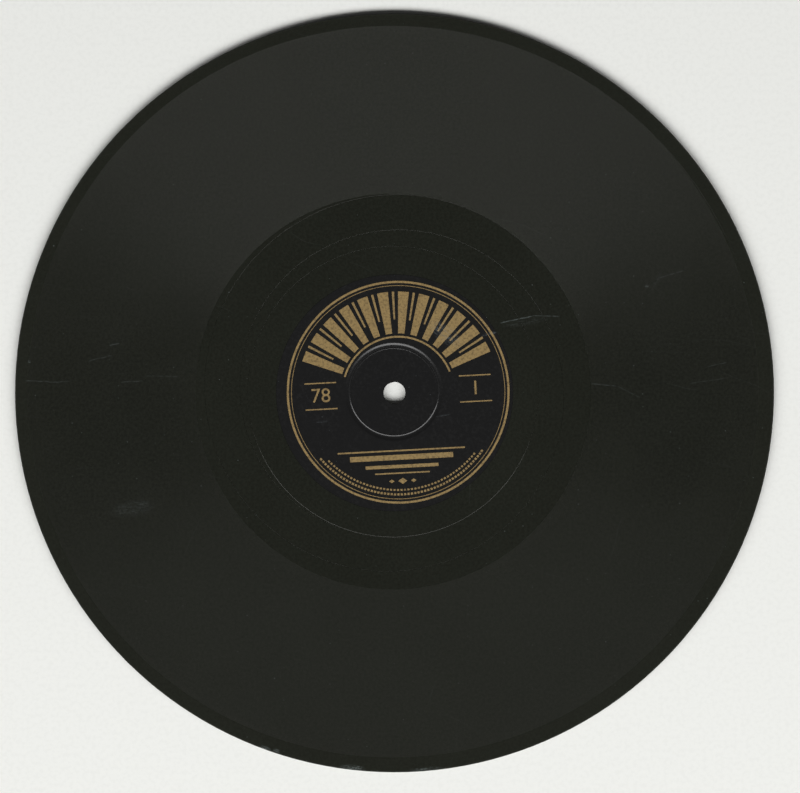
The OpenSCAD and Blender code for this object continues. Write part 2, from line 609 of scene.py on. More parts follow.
BACKING = backing_material()
for node in ("backing_paper_a", "backing_paper_b"):
    dress(frame["nodes"][node].data, BACKING)
print("made", BACKING.name)

# %% [markdown]
# The label is black coated paper, ironed smooth by the hot press, so it is a little glossier than paper
# usually is. The print is bronze powder in varnish: a dull gold with dark pits where the powder is thin.
# Both carry the same scuffs, so a scuff runs on from the paper over the ink.

# %% Label paper
LABEL_BLACK = (0.0092, 0.0092, 0.0093)
LABEL_FIBRE = (0.0125, 0.0125, 0.0126)
RUBBED_PAPER = (0.20, 0.235, 0.25)
LABEL_HAIRLINES = {"turn": 0.6, "spacing": 6.0 * MM, "width": 0.018, "kept": 0.33}
LABEL_DUST = {"scale": 420.0, "kept": 0.06}
LABEL_FIBRE_SCALE = 1100.0
LABEL_CLOUD_SCALE = 90.0
LABEL_ROUGHNESS = 0.17
PAPER_HEIGHT = 0.02 * MM


def label_marks(tree, place, side_height):
    """Scuffs, hairlines and dust, the same for the paper and the ink on it."""
    scuffs = placed_marks(tree, place, SCUFF, LABEL_SCUFFS, side_height)
    fine = mask_of(tree, HAIRLINES, place, **LABEL_HAIRLINES)
    dust = mask_of(tree, DUST, place, **LABEL_DUST)
    return scuffs.most(fine * 0.08).most(dust * 0.3)


def label_material(side_height):
    material, tree, shader, place = new_material("black_label_paper")
    fibres = noise_wire(tree, place, LABEL_FIBRE_SCALE)
    clouds = noise_wire(tree, place, LABEL_CLOUD_SCALE)
    body = blend_colours(ramp(fibres, 0.45, 0.75) * ramp(clouds, 0.3, 0.6), LABEL_BLACK, LABEL_FIBRE)
    marks = label_marks(tree, place, side_height)
    plug(shader.inputs["Base Color"], blend_colours(marks, body, RUBBED_PAPER))
    rough = fibres * 0.08 + LABEL_ROUGHNESS + marks * 0.5
    plug(shader.inputs["Roughness"], rough.held(0.15, 0.9))
    bumped(shader, fibres * 0.6 + clouds, PAPER_HEIGHT, strength=0.25)
    return material


LABEL_PAPER = label_material(LABEL_Z)
print("made", LABEL_PAPER.name)

# %% Gold ink
INK_GOLD = (0.315, 0.217, 0.087)
INK_THIN = (0.155, 0.105, 0.043)
INK_METAL = 0.3
INK_ROUGHNESS = 0.34
PIT_SCALE = 1300.0
PIT_DEPTH = 0.01 * MM
THIN_SCALE = 420.0


def ink_material(side_height):
    material, tree, shader, place = new_material("bronze_ink")
    pits = noise_wire(tree, place, PIT_SCALE)
    thin = noise_wire(tree, place, THIN_SCALE)
    worn = (ramp(pits, 0.40, 0.76) * 0.95 + ramp(thin, 0.5, 0.8) * 0.4).least(1.0)
    body = blend_colours(worn, INK_GOLD, INK_THIN)
    marks = label_marks(tree, place, side_height)
    plug(shader.inputs["Base Color"], blend_colours(marks, body, RUBBED_PAPER))
    plug(shader.inputs["Roughness"], pits * 0.15 + INK_ROUGHNESS)
    shader.inputs["Metallic"].default_value = INK_METAL
    bumped(shader, pits, PIT_DEPTH, strength=0.3)
    return material


GOLD_INK = ink_material(LABEL_Z)
print("made", GOLD_INK.name)

# %% [markdown]
# Most of a record is a turned form: a half section swept once round the spindle axis. A short function
# does that with bmesh. It leaves the section open at both ends if asked, because the groove field is to
# be joined in there later. Every ring has the same number of columns, so that the joint is exact.

# %% Turned meshes
COLUMNS = 84
RIM_STEPS = 8


def turned_mesh(name, section, columns, closed):
    """Sweeps (radius, height) points round Z. A closed section joins its last point to its first."""
    shape = bmesh.new()
    angles = [FULL_TURN * column / columns for column in range(columns)]
    circle = [(math.cos(angle), math.sin(angle)) for angle in angles]
    rings = []
    for radius, height in section:
        rings.append([shape.verts.new((radius * x, radius * y, height)) for x, y in circle])
    pairs = list(zip(rings, rings[1:])) + ([(rings[-1], rings[0])] if closed else [])
    for ring, following in pairs:
        for column in range(columns):
            after = (column + 1) % columns
            shape.faces.new((ring[column], ring[after], following[after], following[column]))
    bmesh.ops.recalc_face_normals(shape, faces=shape.faces)
    mesh = bpy.data.meshes.new(name)
    shape.to_mesh(mesh)
    shape.free()
    return mesh


def rim_section():
    """The rim above the core: a straight side, then a rounded edge up to the flat of the playing face."""
    section = [(DISC_R, CORE_TOP)]
    for step in range(RIM_STEPS + 1):
        angle = math.pi / 2 * step / RIM_STEPS
        radius = DISC_R - EDGE_ROUND * (1 - math.cos(angle))
        section.append((radius, FACE_Z - EDGE_ROUND * (1 - math.sin(angle))))
    return section


print("a rim of", len(rim_section()), "points, turned in", COLUMNS, "columns")

# %% [markdown]
# The die that pressed the label left a ring in it: a shallow trough, a fine raised bead just inside it, and
# a centre that lies a touch lower. It is drawn as offsets from the label's flat, and the same offsets press
# the seat underneath, so that the paper keeps its thickness. The die never sits quite true to the hole, so
# the ring is moved aside a little once it is turned.

# %% The die ring
# radius and height above the label's flat, in mm, from the outer lip inwards
DIE_RING = (
    (16.25, 0.0), (16.14, -0.008), (15.98, -0.045), (15.70, -0.123), (15.45, -0.190), (15.22, -0.225),
    (14.86, -0.225), (14.66, -0.050), (14.44, 0.013), (14.40, 0.021), (14.35, 0.019), (14.20, -0.030),
    (14.13, -0.038), (14.00, -0.038), (13.60, -0.038),
)
DIE_RING_SLACK = 0.1 * MM
DIE_RING_SHIFT = Vector((-0.17 * MM, 0.36 * MM))
LABEL_FLAT_R = 16.5 * MM


def pressed_centre_at(height):
    """The die ring and the flat inside it, in to the hole."""
    offsets = [*DIE_RING, (BORE_R / MM, DIE_RING[-1][1])]
    return [(radius * MM, height + offset * MM) for radius, offset in offsets]


def move_die_ring(mesh):
    """Moves the points of the die ring aside. No other ring of a label or a seat has such a radius."""
    inner, outer = DIE_RING[-1][0] * MM - DIE_RING_SLACK, LABEL_FLAT_R + DIE_RING_SLACK
    for vertex in mesh.vertices:
        if inner < vertex.co.xy.length < outer:
            vertex.co.xy += DIE_RING_SHIFT


print(f"die ring {len(DIE_RING)} points, moved {DIE_RING_SHIFT.length / MM:.2f} mm off centre")

# %% [markdown]
# The groove is one line: it starts in the margin with a short lead-in, runs through the field at an even
# pitch, leaves it in a fast run-out and dies into the closed stop groove. A texture could only paint that,
# so it is cut into the mesh with Geometry Nodes. A grid has five rows for each turn: the outer lip, three
# lines at the bottom and the inner lip. Each vertex finds its turn and its angle from its place in the
# grid, and a formula gives the radius. The last column of one turn falls on the first column of the next,
# so merging by distance closes the spiral without a seam.
#
# The walls are steep, and the bottom is blunt: two narrow facets lean against each other there, the wider
# one on the outer side. They are why a record shows a bow tie of light. Where the grooves run square to the
# lamp, one of the facets mirrors it towards the eye, and the wider facet makes the brighter half.

# %% Groove sizes
LEAD_IN_R = 121.4 * MM
STOP_R = 47.9 * MM
RUN_OUT_PITCH = 11.6 * MM
GROOVE_HALF = 0.075 * MM
GROOVE_DEPTH = 0.07 * MM
OUTER_FACET = 0.040 * MM
INNER_FACET = 0.0135 * MM
BOTTOM_SHIFT = -0.010 * MM
FACET_SLOPE = math.tan(math.radians(23))
START_TURN = 12 / 360
LEAD_IN_TURNS = 30 / 360
END_TURN = 85 / 360
WHOLE_TURNS = 218
SPARE_TURNS = 3
FIELD_TURNS = WHOLE_TURNS + END_TURN - START_TURN - LEAD_IN_TURNS
ROWS_PER_TURN = 5
ROOM_SHARE = 0.32
LOUDNESS_SCALE = 0.13
LOUDNESS_SWING = 0.3
QUIETEST = 0.85
WELD = 0.001 * MM
STOP_EDGE_R = STOP_R + 2 * GROOVE_HALF
FIELD_PITCH = (FIELD_OUTER_R - FIELD_INNER_R) / FIELD_TURNS
RUN_OUT_TURNS = (FIELD_INNER_R - STOP_EDGE_R) / RUN_OUT_PITCH
TURNS_DRAWN = math.ceil(START_TURN + LEAD_IN_TURNS + FIELD_TURNS + RUN_OUT_TURNS) + SPARE_TURNS
print(f"pitch {FIELD_PITCH / MM:.3f} mm, run-out {RUN_OUT_TURNS:.2f} turns, {TURNS_DRAWN} turns drawn")

# %% [markdown]
# The groove and, later, the print on the label are both trees that bend a flat strip round the centre. What
# they share is written once here: polar places, welding parts together, and the end of a tree.

# %% Helpers for Geometry Nodes


def pick(number, values):
    """One of a list of values, by a whole number that is itself a wire."""
    chosen = number.maths("COMPARE", 0, 0.5) * values[0]
    for place, value in enumerate(values[1:], start=1):
        chosen = chosen + number.maths("COMPARE", place, 0.5) * value
    return chosen


def polar(radius, angle, height):
    """A place at a radius and an angle round the spindle axis."""
    return join(radius * angle.maths("COSINE"), radius * angle.maths("SINE"), height)


def point_places(tree):
    """The x, y and z of every point."""
    return split(add_wire(tree, "GeometryNodeInputPosition"))


def welded(tree, parts, distance):
    """Joins pieces of geometry and merges the points that meet."""
    both = tree.nodes.new("GeometryNodeJoinGeometry")
    for part in parts:
        tree.links.new(part.socket, both.inputs[0])
    inputs = {"Geometry": Wire(both.outputs[0]), "Distance": distance}
    return add_wire(tree, "GeometryNodeMergeByDistance", inputs)


def hand_out(tree, out, geometry, material):
    """Ends a tree: nothing is left as an instance, and every face has its material."""
    real = add_wire(tree, "GeometryNodeRealizeInstances", {"Geometry": geometry})
    done = add_wire(tree, "GeometryNodeSetMaterial", {"Geometry": real, "Material": material})
    plug(out.inputs["Mesh"], done)


print("helpers for Geometry Nodes ready")

# %% The line of the groove


def groove_radius(size, turn):
    """Radius of the groove's middle, by the number of turns since the margin."""
    since = turn - size["Start Turn"]
    lead = since.held(0.0, size["Lead In Turns"])
    field = (since - size["Lead In Turns"]).held(0.0, size["Field Turns"])
    run_out = (since - size["Lead In Turns"] - size["Field Turns"]).most(0.0)
    lead_drop = lead / size["Lead In Turns"] * (size["Lead In Radius"] - size["Field Radius"])
    fall = lead_drop + field * size["Field Pitch"] + run_out * size["Run Out Pitch"]
    return (size["Lead In Radius"] - fall).most(size["Stop Radius"])


def groove_strip(tree, size):
    """The grid, bent into the spiral and pressed down into grooves. Loud turns have wider facets."""
    rows = size["Turns"] * ROWS_PER_TURN
    grid = add_wire(tree, "GeometryNodeMeshGrid", {
        "Size X": 1.0, "Size Y": 1.0, "Vertices X": size["Columns"] + 1, "Vertices Y": rows}, "Mesh")
    x, y, _ = point_places(tree)
    column = ((x + 0.5) * size["Columns"]).maths("ROUND")
    row = ((y + 0.5) * (rows - 1)).maths("ROUND")
    whole_turns = ((row + 0.5) / ROWS_PER_TURN).maths("FLOOR")
    line = row - whole_turns * ROWS_PER_TURN
    turn = whole_turns - 1 + column / size["Columns"]

    here = groove_radius(size, turn)
    room = (groove_radius(size, turn - 1) - here).least(here - groove_radius(size, turn + 1))
    half = (room * ROOM_SHARE).held(0.0, size["Groove Half Width"])
    loudness = add_wire(tree, "ShaderNodeTexNoise", {"W": turn, "Scale": LOUDNESS_SCALE, "Detail": 3.0},
                        noise_dimensions="1D")
    swell = loudness * LOUDNESS_SWING + QUIETEST
    wide, narrow = size["Outer Facet"] * swell, size["Inner Facet"] * swell
    shift, depth, slope = size["Bottom Shift"], size["Groove Depth"], size["Facet Slope"]
    lip = size["Groove Half Width"]
    side = pick(line, [lip, shift + wide, shift, shift - narrow, lip * -1.0])
    drop = pick(line, [0.0, depth - wide * slope, depth, depth - narrow * slope, 0.0])
    share = half / lip
    angle = column / size["Columns"] * FULL_TURN
    place = polar(here + side * share, angle, size["Face Height"] - drop * share)
    return add_wire(tree, "GeometryNodeSetPosition", {"Geometry": grid, "Position": place})


def off_centre(tree, size, geometry):
    """Moves the grooves aside. The shift fades out towards the rim and the label, which stay true."""
    x, y, z = point_places(tree)
    radius = (x * x + y * y).power(0.5)
    outer = ((MARGIN_R - radius) / (MARGIN_R - size["Lead In Radius"])).held(0.0, 1.0)
    inner = ((radius - RECESS_R) / (STOP_R - 2 * GROOVE_HALF - RECESS_R)).held(0.0, 1.0)
    upper = z.maths("GREATER_THAN", FACE_Z - 2 * GROOVE_DEPTH)
    inputs = {0: size["Off Centre"], "Scale": outer * inner * upper}
    shift = add_wire(tree, "ShaderNodeVectorMath", inputs, operation="SCALE")
    return add_wire(tree, "GeometryNodeSetPosition", {"Geometry": geometry, "Offset": shift})


print("groove:", ROWS_PER_TURN, "rows to a turn")

# %% Groove tree


def groove_tree():
    """Fills the opening of a shell with the groove, and hands out the whole face."""
    sizes = {
        "Lead In Radius": LEAD_IN_R, "Field Radius": FIELD_OUTER_R, "Field Pitch": FIELD_PITCH,
        "Run Out Pitch": RUN_OUT_PITCH, "Stop Radius": STOP_EDGE_R, "Groove Half Width": GROOVE_HALF,
        "Groove Depth": GROOVE_DEPTH, "Outer Facet": OUTER_FACET, "Inner Facet": INNER_FACET,
        "Bottom Shift": BOTTOM_SHIFT, "Face Height": FACE_Z, "Lead In Turns": LEAD_IN_TURNS,
        "Field Turns": FIELD_TURNS, "Start Turn": START_TURN, "Facet Slope": FACET_SLOPE,
    }
    inputs = {"Shell": ("Geometry", None), "Columns": ("Int", COLUMNS), "Turns": ("Int", TURNS_DRAWN),
              "Material": ("Material", None), "Off Centre": ("Vector", (0.0, 0.0, 0.0))}
    inputs |= {name: ("Float", value) for name, value in sizes.items()}
    outputs = {"Mesh": ("Geometry", None)}
    tree, size, out = new_tree("cut_spiral_groove", "GeometryNodeTree", inputs, outputs)
    tree.is_modifier = True
    whole = welded(tree, (size["Shell"], groove_strip(tree, size)), WELD)
    hand_out(tree, out, off_centre(tree, size, whole), size["Material"])
    return tree


GROOVE_TREE = groove_tree()
print("groove tree:", len(GROOVE_TREE.nodes), "nodes")

# %% [markdown]
# A modifier is only a recipe. To hand on a plain mesh, the object is evaluated, the result is copied, and
# the modifier goes. Inputs are set by the socket's identifier, because that is the name a modifier knows.

# %% From modifier to mesh


def with_nodes(name, mesh, tree, values):
    """Runs a Geometry Nodes tree on a mesh and returns a plain mesh object."""
    piece = bpy.data.objects.new(name, mesh)
    bpy.context.scene.collection.objects.link(piece)
    modifier = piece.modifiers.new(tree.name, "NODES")
    modifier.node_group = tree
    for item in tree.interface.items_tree:
        if item.item_type == "SOCKET" and item.in_out == "INPUT" and item.name in values:
            modifier[item.identifier] = values[item.name]
    graph = bpy.context.evaluated_depsgraph_get()
    result = bpy.data.meshes.new_from_object(piece.evaluated_get(graph), depsgraph=graph)
    piece.modifiers.clear()
    piece.data = result
    return piece


def plain_piece(name, mesh, material):
    """Puts a mesh into the scene as a piece of one material."""
    piece = bpy.data.objects.new(name, mesh)
    bpy.context.scene.collection.objects.link(piece)
    dress(mesh, material)
    return piece


def smooth_faces(mesh, sharp_angle):
    """Turns all faces outwards and shades them smooth, with edges sharp from this angle on."""
    shape = bmesh.new()
    shape.from_mesh(mesh)
    bmesh.ops.recalc_face_normals(shape, faces=shape.faces)
    shape.to_mesh(mesh)
    shape.free()
    mesh.shade_smooth()
    mesh.set_sharp_from_angle(angle=sharp_angle)


print("mesh helpers ready")

# %% [markdown]
# The columns are as few as the groove allows, because every turn has five rows of them. The outline of the
# disc shows more, so the rim's rings get twice as many: each of their edges is cut in two, and the new
# point moves out from the chord to the circle.

# %% A rounder rim
RIM_SLACK = 0.01 * MM


def round_rim(mesh):
    """Doubles the columns of all rings from the margin outwards."""
    shape = bmesh.new()
    shape.from_mesh(mesh)
    ends = {edge: [(vertex.co.xy.length, vertex.co.z) for vertex in edge.verts] for edge in shape.edges}
    along = [edge for edge, (first, second) in ends.items()
             if first[0] > MARGIN_R - RIM_SLACK and math.dist(first, second) < WELD]
    made = bmesh.ops.subdivide_edges(shape, edges=along, cuts=1, use_grid_fill=True)
    for part in made["geom_inner"]:
        if isinstance(part, bmesh.types.BMVert):
            part.co.xy /= math.cos(math.pi / COLUMNS)
    shape.to_mesh(mesh)
    shape.free()


print("the rim has", 2 * COLUMNS, "columns")

# %% [markdown]
# Each piece also carries a flat map of its faces, for when its finish is baked into a picture. The faces
# that are seen from above fill the square of the map. The hidden ones need no room, so they go small into
# one of its corners.

# %% A flat map
# scale and middle of the disc on the map
SEEN_MAP = (0.48, 0.5)
HIDDEN_MAP = (0.06, 0.07)
FACES_UP = 0.05


def lay_flat_map(mesh, reach):
    """Maps the faces from above. The reach is the radius that fills the map."""
    layer = mesh.uv_layers.new(name="OFBake")
    for face in mesh.polygons:
        shrink, middle = SEEN_MAP if face.normal.z > FACES_UP else HIDDEN_MAP
        for corner in face.loop_indices:
            place = mesh.vertices[mesh.loops[corner].vertex_index].co
            layer.data[corner].uv = (middle + shrink * place.x / reach, middle + shrink * place.y / reach)


print(f"a face takes up {2 * SEEN_MAP[0]:.0%} of the map's width")

# %% [markdown]
# A playing face begins as an open shell: from the stop groove in to the hole, down, under the facing with
# its bed for the paper, and up over the rim to the margin. The groove tree fills the gap between margin
# and stop groove. Side B is made in the same way and turned over, as the real record is.

# %% Playing faces
LABEL_BACK_Z = LABEL_Z - LABEL_T
SEAT_Z = LABEL_BACK_Z - LABEL_FIT
EDGE_SEAL = DISC_R - PAPER_R
FACET_ANGLE = math.radians(12)
# offset from the middle and depth, in mm, from the outer lip inwards: here the inner facet is the wide one
STOP_GROOVE = ((0.110, 0.0), (0.045, 0.067), (0.027, 0.075), (-0.057, 0.039), (-0.095, 0.0))


def face_section():
    """The open half section: from the stop groove in to the hole, under and out to the margin."""
    stop_groove = [(STOP_R + offset * MM, FACE_Z - depth * MM) for offset, depth in STOP_GROOVE]
    seat = [(RECESS_R, FACE_Z), (RECESS_R, SEAT_Z), (LABEL_FLAT_R, SEAT_Z), *pressed_centre_at(SEAT_Z)]
    back = [(BORE_R, CORE_TOP), (BORE_R + EDGE_SEAL, CORE_TOP), (BORE_R + EDGE_SEAL, PAPER_TOP),
            (PAPER_R, PAPER_TOP), (PAPER_R, CORE_TOP)]
    return [(STOP_EDGE_R, FACE_Z), *stop_groove, *seat, *back, *rim_section(),
            (MARGIN_R, FACE_Z), (LEAD_IN_R, FACE_Z)]


def playing_face(name):
    """A facing with its groove, lying as side A."""
    shell = turned_mesh(name + "_shell", face_section(), COLUMNS, closed=False)
    move_die_ring(shell)
    piece = with_nodes(name, shell, GROOVE_TREE, {"Material": SHELLAC, "Off Centre": FIELD_OFF_CENTRE})
    round_rim(piece.data)
    smooth_faces(piece.data, FACET_ANGLE)
    lay_flat_map(piece.data, DISC_R)
    return piece


def turned_over(piece):
    """Lays a piece of side A on side B, as if the record were flipped about its X axis."""
    flip = Matrix.Translation((0, 0, FACE_Z)) @ Matrix.Rotation(math.pi, 4, "X")
    piece.data.transform(flip)
    piece.data.update()
    return piece


def triangles(mesh):
    mesh.calc_loop_triangles()
    return len(mesh.loop_triangles)


face_a = playing_face("shellac_face_a")
face_b = turned_over(playing_face("shellac_face_b"))
print("playing faces:", triangles(face_a.data), "triangles each")

# %% [markdown]
# The label is turned as well, with the die ring in both its faces. The punched hole in the paper is never
# quite round: it wears against spindles, so its edge wavers a little about the bore.

# %% Labels
LABEL_COLUMNS = 192
LABEL_EDGE = 0.04 * MM
LABEL_SHARP = math.radians(30)
HOLE_TIGHTNESS = 0.008
HOLE_WAVER = 0.05
HOLE_WAVES = 1.6


def label_mesh(name, seed):
    """A label with its worn hole. The seed picks how the hole wavers."""
    top = [(LABEL_R, LABEL_Z - LABEL_EDGE), (LABEL_R - LABEL_EDGE, LABEL_Z), (LABEL_FLAT_R, LABEL_Z),
           *pressed_centre_at(LABEL_Z)]
    under = [*reversed(pressed_centre_at(LABEL_BACK_Z)),
             (LABEL_FLAT_R, LABEL_BACK_Z), (LABEL_R, LABEL_BACK_Z)]
    mesh = turned_mesh(name, top + under, LABEL_COLUMNS, closed=True)
    for vertex in mesh.vertices:
        radius = vertex.co.xy.length
        if radius < BORE_R + LABEL_EDGE:
            x, y = [along / radius * HOLE_WAVES for along in vertex.co.xy]
            wander = noise.noise(Vector((x, y, seed)))
            vertex.co.xy *= 1 - (HOLE_TIGHTNESS + HOLE_WAVER * wander)
    move_die_ring(mesh)
    smooth_faces(mesh, LABEL_SHARP)
    lay_flat_map(mesh, LABEL_R)
    return mesh


label_a = plain_piece("paper_label_a", label_mesh("paper_label_a", 3.7), LABEL_PAPER)
label_b = turned_over(plain_piece("paper_label_b", label_mesh("paper_label_b", 8.2), LABEL_PAPER))
print("labels:", triangles(label_a.data), "triangles each")

# %% [markdown]
# The print on the label is a plain fan of rays over stepped rules, in the taste of the period. Rays, rings
# and rows of dashes are all the same thing: patches of a ring, repeated round the centre. One Geometry
# Nodes tree makes them. It lays flat patches side by side with the angle along X and the radius along Y,
# bends that strip into polar form, and gives it the thickness of a coat of ink.

# %% Ink patch tree
INK_RISE = 0.012 * MM
INK_SINK = 0.006 * MM
INK_WELD = 0.0001 * MM


def ink_patch_tree():
    """Patches of a ring, repeated at even angles and given the thickness of the ink."""
    inputs = {"Base": ("Geometry", None), "Count": ("Int", 1), "First Angle": ("Float", 0.0),
              "Last Angle": ("Float", 0.0), "Patch Angle": ("Float", 0.1), "Inner Radius": ("Float", 0.01),
              "Outer Radius": ("Float", 0.02), "Steps": ("Int", 2), "Height": ("Float", LABEL_Z),
              "Rise": ("Float", INK_RISE), "Sink": ("Float", INK_SINK), "Material": ("Material", None)}
    tree, size, out = new_tree("ink_patches", "GeometryNodeTree", inputs, {"Mesh": ("Geometry", None)})
    tree.is_modifier = True
    patch = add_wire(tree, "GeometryNodeMeshGrid", {
        "Size X": size["Patch Angle"], "Size Y": size["Outer Radius"] - size["Inner Radius"],
        "Vertices X": size["Steps"] + 1, "Vertices Y": 2}, "Mesh")
    share = add_wire(tree, "GeometryNodeInputIndex") / (size["Count"] - 1).most(1.0)
    angle = size["First Angle"] + share * (size["Last Angle"] - size["First Angle"])
    radius = (size["Inner Radius"] + size["Outer Radius"]) * 0.5
    row_inputs = {"Count": size["Count"], "Position": join(angle, radius, 0.0)}
    row = add_wire(tree, "GeometryNodePoints", row_inputs)
    stamped = add_wire(tree, "GeometryNodeInstanceOnPoints", {"Points": row, "Instance": patch})
    strip = add_wire(tree, "GeometryNodeRealizeInstances", {"Geometry": stamped})

    angle, radius, _ = point_places(tree)
    place = polar(radius, angle, size["Height"] - size["Sink"])
    bent = add_wire(tree, "GeometryNodeSetPosition", {"Geometry": strip, "Position": place})
    under = welded(tree, [bent], WELD)
    lift = join(0.0, 0.0, size["Rise"] + size["Sink"])
    raised = add_wire(tree, "GeometryNodeExtrudeMesh", {
        "Mesh": under, "Offset": lift, "Offset Scale": 1.0, "Individual": False}, "Mesh")
    underside = add_wire(tree, "GeometryNodeFlipFaces", {"Mesh": under})
    whole = welded(tree, (size["Base"], raised, underside), INK_WELD)
    hand_out(tree, out, whole, size["Material"])
    return tree


INK_TREE = ink_patch_tree()
print("ink tree:", len(INK_TREE.nodes), "nodes")

# %% Rays, rings and dashes
# count, first and last angle of the patches' middles, angle of a patch, inner and outer radius (mm), steps
RING_PRINT = {
    "border": (1, 0, 0, 360, 36.0, 36.7, 192),
    "border_fine": (1, 0, 0, 360, 35.05, 35.25, 192),
    "fan_base": (1, 90, 90, 142, 18.0, 18.6, 64),
    "fan_rays": (12, 24, 156, 6.2, 19.4, 33.2, 6),
    "fan_splits": (11, 30, 150, 1.3, 24.0, 33.2, 2),
    "dashes_outer": (56, 218, 322, 1.25, 33.3, 34.0, 2),
    "dashes_middle": (48, 222, 318, 1.25, 31.9, 32.5, 2),
}


def ring_print(name):
    """The pieces of print that go round the centre."""
    pieces = []
    for part, (count, first, last, patch, inner, outer, steps) in RING_PRINT.items():
        values = {"Count": count, "Steps": steps, "Material": GOLD_INK}
        values |= {"Inner Radius": inner * MM, "Outer Radius": outer * MM}
        values |= {"First Angle": math.radians(first), "Last Angle": math.radians(last)}
        values["Patch Angle"] = math.radians(patch)
        pieces.append(with_nodes(f"{name}_{part}", bpy.data.meshes.new(part), INK_TREE, values))
    return pieces


print("rings of print:", ", ".join(RING_PRINT))

# %% [markdown]
# Straight rules and lozenges are outlines given the same coat of ink. The two plain numbers, the playing
# speed and the side in Roman figures, are text turned into a mesh. Everything is then joined into one piece
# of print, and laid on the label a touch off centre and a few degrees askew, as hurried pressings have it.

# %% Rules and lozenges
# middle x, middle y, width and height in mm
RULES = (
    (0, -19.2, 42, 0.5), (0, -21.4, 34, 1.7), (0, -24.4, 24, 1.1), (0, -26.6, 18, 0.45),
    (-25.5, 4.3, 10.5, 0.4), (-25.5, -4.3, 10.5, 0.4), (25.5, 4.3, 10.5, 0.4), (25.5, -4.3, 10.5, 0.4),
)
LOZENGES = ((0, -29.2, 3.0, 2.0), (-3.6, -29.2, 1.8, 1.2), (3.6, -29.2, 1.8, 1.2))


def inked_outline(shape, outline):
    """Adds a closed slab of ink with this outline, given anticlockwise in mm."""
    low = [shape.verts.new((x * MM, y * MM, LABEL_Z - INK_SINK)) for x, y in outline]
    high = [shape.verts.new((x * MM, y * MM, LABEL_Z + INK_RISE)) for x, y in outline]
    shape.faces.new(high)
    shape.faces.new(reversed(low))
    for i in range(len(outline)):
        after = (i + 1) % len(outline)
        shape.faces.new((low[i], low[after], high[after], high[i]))


def straight_print(name):
    """The rules and lozenges in one piece."""
    shape = bmesh.new()
    for x, y, width, height in RULES:
        dx, dy = width / 2, height / 2
        inked_outline(shape, ((x - dx, y - dy), (x + dx, y - dy), (x + dx, y + dy), (x - dx, y + dy)))
    for x, y, width, height in LOZENGES:
        dx, dy = width / 2, height / 2
        inked_outline(shape, ((x - dx, y), (x, y - dy), (x + dx, y), (x, y + dy)))
    mesh = bpy.data.meshes.new(name)
    shape.to_mesh(mesh)
    shape.free()
    return plain_piece(name, mesh, GOLD_INK)


print("straight print:", len(RULES), "rules and", len(LOZENGES), "lozenges")

# %% Numbers
NUMBER_HEIGHT = 6.6 * MM
NUMBER_STEPS = 6
SPEED_PLACE = (-25.5 * MM, 0.0)
SIDE_PLACE = (25.5 * MM, 0.0)


def number_print(name, words, place):
    """Raised figures in the default font, made a mesh before they are put in their place."""
    curve = bpy.data.curves.new(name, "FONT")
    curve.body = words
    curve.size = NUMBER_HEIGHT
    curve.align_x = "CENTER"
    curve.align_y = "CENTER"
    curve.extrude = (INK_RISE + INK_SINK) / 2
    curve.resolution_u = NUMBER_STEPS
    letters = bpy.data.objects.new(name + "_curve", curve)
    bpy.context.scene.collection.objects.link(letters)
    graph = bpy.context.evaluated_depsgraph_get()
    mesh = bpy.data.meshes.new_from_object(letters.evaluated_get(graph), depsgraph=graph)
    bpy.data.objects.remove(letters)
    mesh.transform(Matrix.Translation((*place, LABEL_Z + (INK_RISE - INK_SINK) / 2)))
    return plain_piece(name, mesh, GOLD_INK)


print(f"numbers {NUMBER_HEIGHT / MM:.1f} mm high")

# %% Join the print
PRINT_TURN = math.radians(3.0)
PRINT_SHIFT = Vector((1.2 * MM, 0.2 * MM, 0.0))


def joined(name, pieces, material):
    """One mesh from several, with doubles merged and faces outwards."""
    shape = bmesh.new()
    for piece in pieces:
        shape.from_mesh(piece.data)
        bpy.data.objects.remove(piece)
    bmesh.ops.remove_doubles(shape, verts=shape.verts, dist=INK_WELD)
    bmesh.ops.recalc_face_normals(shape, faces=shape.faces)
    for face in shape.faces:
        face.material_index = 0
        face.smooth = False
    mesh = bpy.data.meshes.new(name)
    shape.to_mesh(mesh)
    shape.free()
    return plain_piece(name, mesh, material)


def label_print(name, side_number):
    """All the print of one label, askew on it."""
    speed = number_print(name + "_speed", "78", SPEED_PLACE)
    side = number_print(name + "_side", side_number, SIDE_PLACE)
    piece = joined(name, [*ring_print(name), straight_print(name + "_rules"), speed, side], GOLD_INK)
    piece.data.transform(Matrix.Translation(PRINT_SHIFT) @ Matrix.Rotation(PRINT_TURN, 4, "Z"))
    return piece


print_a = label_print("label_print_a", "I")
print_b = turned_over(label_print("label_print_b", "II"))
print("print:", triangles(print_a.data), "and", triangles(print_b.data), "triangles")

# %% [markdown]
# Every piece now rides on the record's one body and stands in for the solid that it covers. The print
# covers nothing, so it replaces no solid.

# %% Fit the pieces to the frame
for piece, node, slot in (
    (face_a, "playing_face_a", "shellac_face"), (face_b, "playing_face_b", "shellac_face"),
    (label_a, "label_a", "label_paper"), (label_b, "label_b", "label_paper"),
    (print_a, None, "label_print"), (print_b, None, "label_print"),
):
    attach(piece, "root")
    if node:
        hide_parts(node)
print("pieces ride on the root body")

# %% [markdown]
# The record lies on a plain pale floor. The camera looks straight down from far off through a long lens, so
# that there is hardly any perspective, and stands a little off the disc's centre, as in the photograph.

# %% Floor and camera
FLOOR_SIZE = 12.0
FLOOR_PALE = (0.80, 0.805, 0.775)
FLOOR_FLECK = (0.775, 0.78, 0.75)
FLOOR_FLECK_SCALE = 700.0
FLOOR_ROUGHNESS = 0.9
FLOOR_GLOSS = 0.1
VIEW_WIDTH = 263.5 * MM
VIEW_OFF_CENTRE = (1.80 * MM, -1.20 * MM)
LENS = 800.0


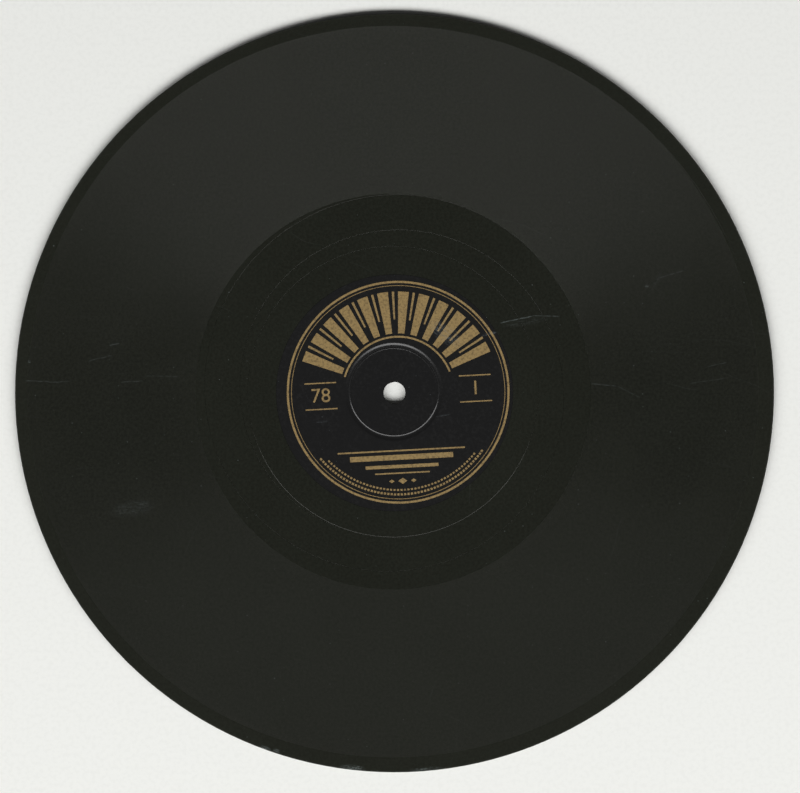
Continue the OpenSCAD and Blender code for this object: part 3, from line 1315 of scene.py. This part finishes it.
def floor_material():
    material, tree, shader, place = new_material("pale_floor")
    flecks = noise_wire(tree, place, FLOOR_FLECK_SCALE)
    plug(shader.inputs["Base Color"], blend_colours(ramp(flecks, 0.4, 0.7), FLOOR_PALE, FLOOR_FLECK))
    shader.inputs["Roughness"].default_value = FLOOR_ROUGHNESS
    shader.inputs["Specular IOR Level"].default_value = FLOOR_GLOSS
    return material


shape = bmesh.new()
bmesh.ops.create_grid(shape, x_segments=1, y_segments=1, size=FLOOR_SIZE / 2)
floor_mesh = bpy.data.meshes.new("floor")
shape.to_mesh(floor_mesh)
shape.free()
plain_piece("floor", floor_mesh, floor_material())

camera = bpy.data.objects.new("camera", bpy.data.cameras.new("camera"))
bpy.context.scene.collection.objects.link(camera)
camera.data.lens = LENS
camera_height = FACE_Z + VIEW_WIDTH * LENS / camera.data.sensor_width
camera.location = (*VIEW_OFF_CENTRE, camera_height)
bpy.context.scene.camera = camera
print(f"camera sees {VIEW_WIDTH / MM:.1f} mm across from {camera_height:.2f} m")

# %% [markdown]
# Black gloss shows what it mirrors. Seen from above, the flat of the disc mirrors the zenith, so the sky is
# dim there, and the light comes from one very long soft lamp on the near side. Its length sets how soft the
# shadows are at the left and right. Near the horizon the camera and the gloss see a pale backdrop, so that
# a low view has a plain background and the disc mirrors it.

# %% Lamp and sky
LAMP_PLACE = Vector((0.0, -2.12, 2.66))
LAMP_LENGTH = 14.0
LAMP_WIDTH = 1.73
LAMP_WATTS = 412.0
SKY_LEVEL = 0.04
BACKDROP_LEVEL = 0.8
BACKDROP_FADES = (math.sin(math.radians(28)), math.sin(math.radians(10)))

lamp_data = bpy.data.lights.new("long_lamp", "AREA")
lamp_data.shape = "RECTANGLE"
lamp_data.size = LAMP_LENGTH
lamp_data.size_y = LAMP_WIDTH
lamp_data.energy = LAMP_WATTS
lamp = bpy.data.objects.new("long_lamp", lamp_data)
bpy.context.scene.collection.objects.link(lamp)
lamp.location = LAMP_PLACE
lamp.rotation_euler = (-LAMP_PLACE).to_track_quat("-Z", "Y").to_euler()
lamp.visible_camera = False

world = bpy.data.worlds.new("sky")
bpy.context.scene.world = world
world.use_nodes = True
sky = world.node_tree
rays = sky.nodes.new("ShaderNodeLightPath").outputs
seen_by = ("Camera", "Glossy", "Transmission")
to_camera, to_gloss, through = [Wire(rays[f"Is {kind} Ray"]) for kind in seen_by]
_, _, upwards = split(Wire(sky.nodes.new("ShaderNodeTexCoord").outputs["Generated"]))
backdrop = to_camera.most(to_gloss).most(through) * ramp(upwards, *BACKDROP_FADES)
plug(sky.nodes["Background"].inputs["Strength"], backdrop * (BACKDROP_LEVEL - SKY_LEVEL) + SKY_LEVEL)
sky.nodes["Background"].inputs["Color"].default_value = (1.0, 1.0, 1.0, 1.0)
bpy.context.scene.view_settings.view_transform = "Standard"
print("lamp and sky set")
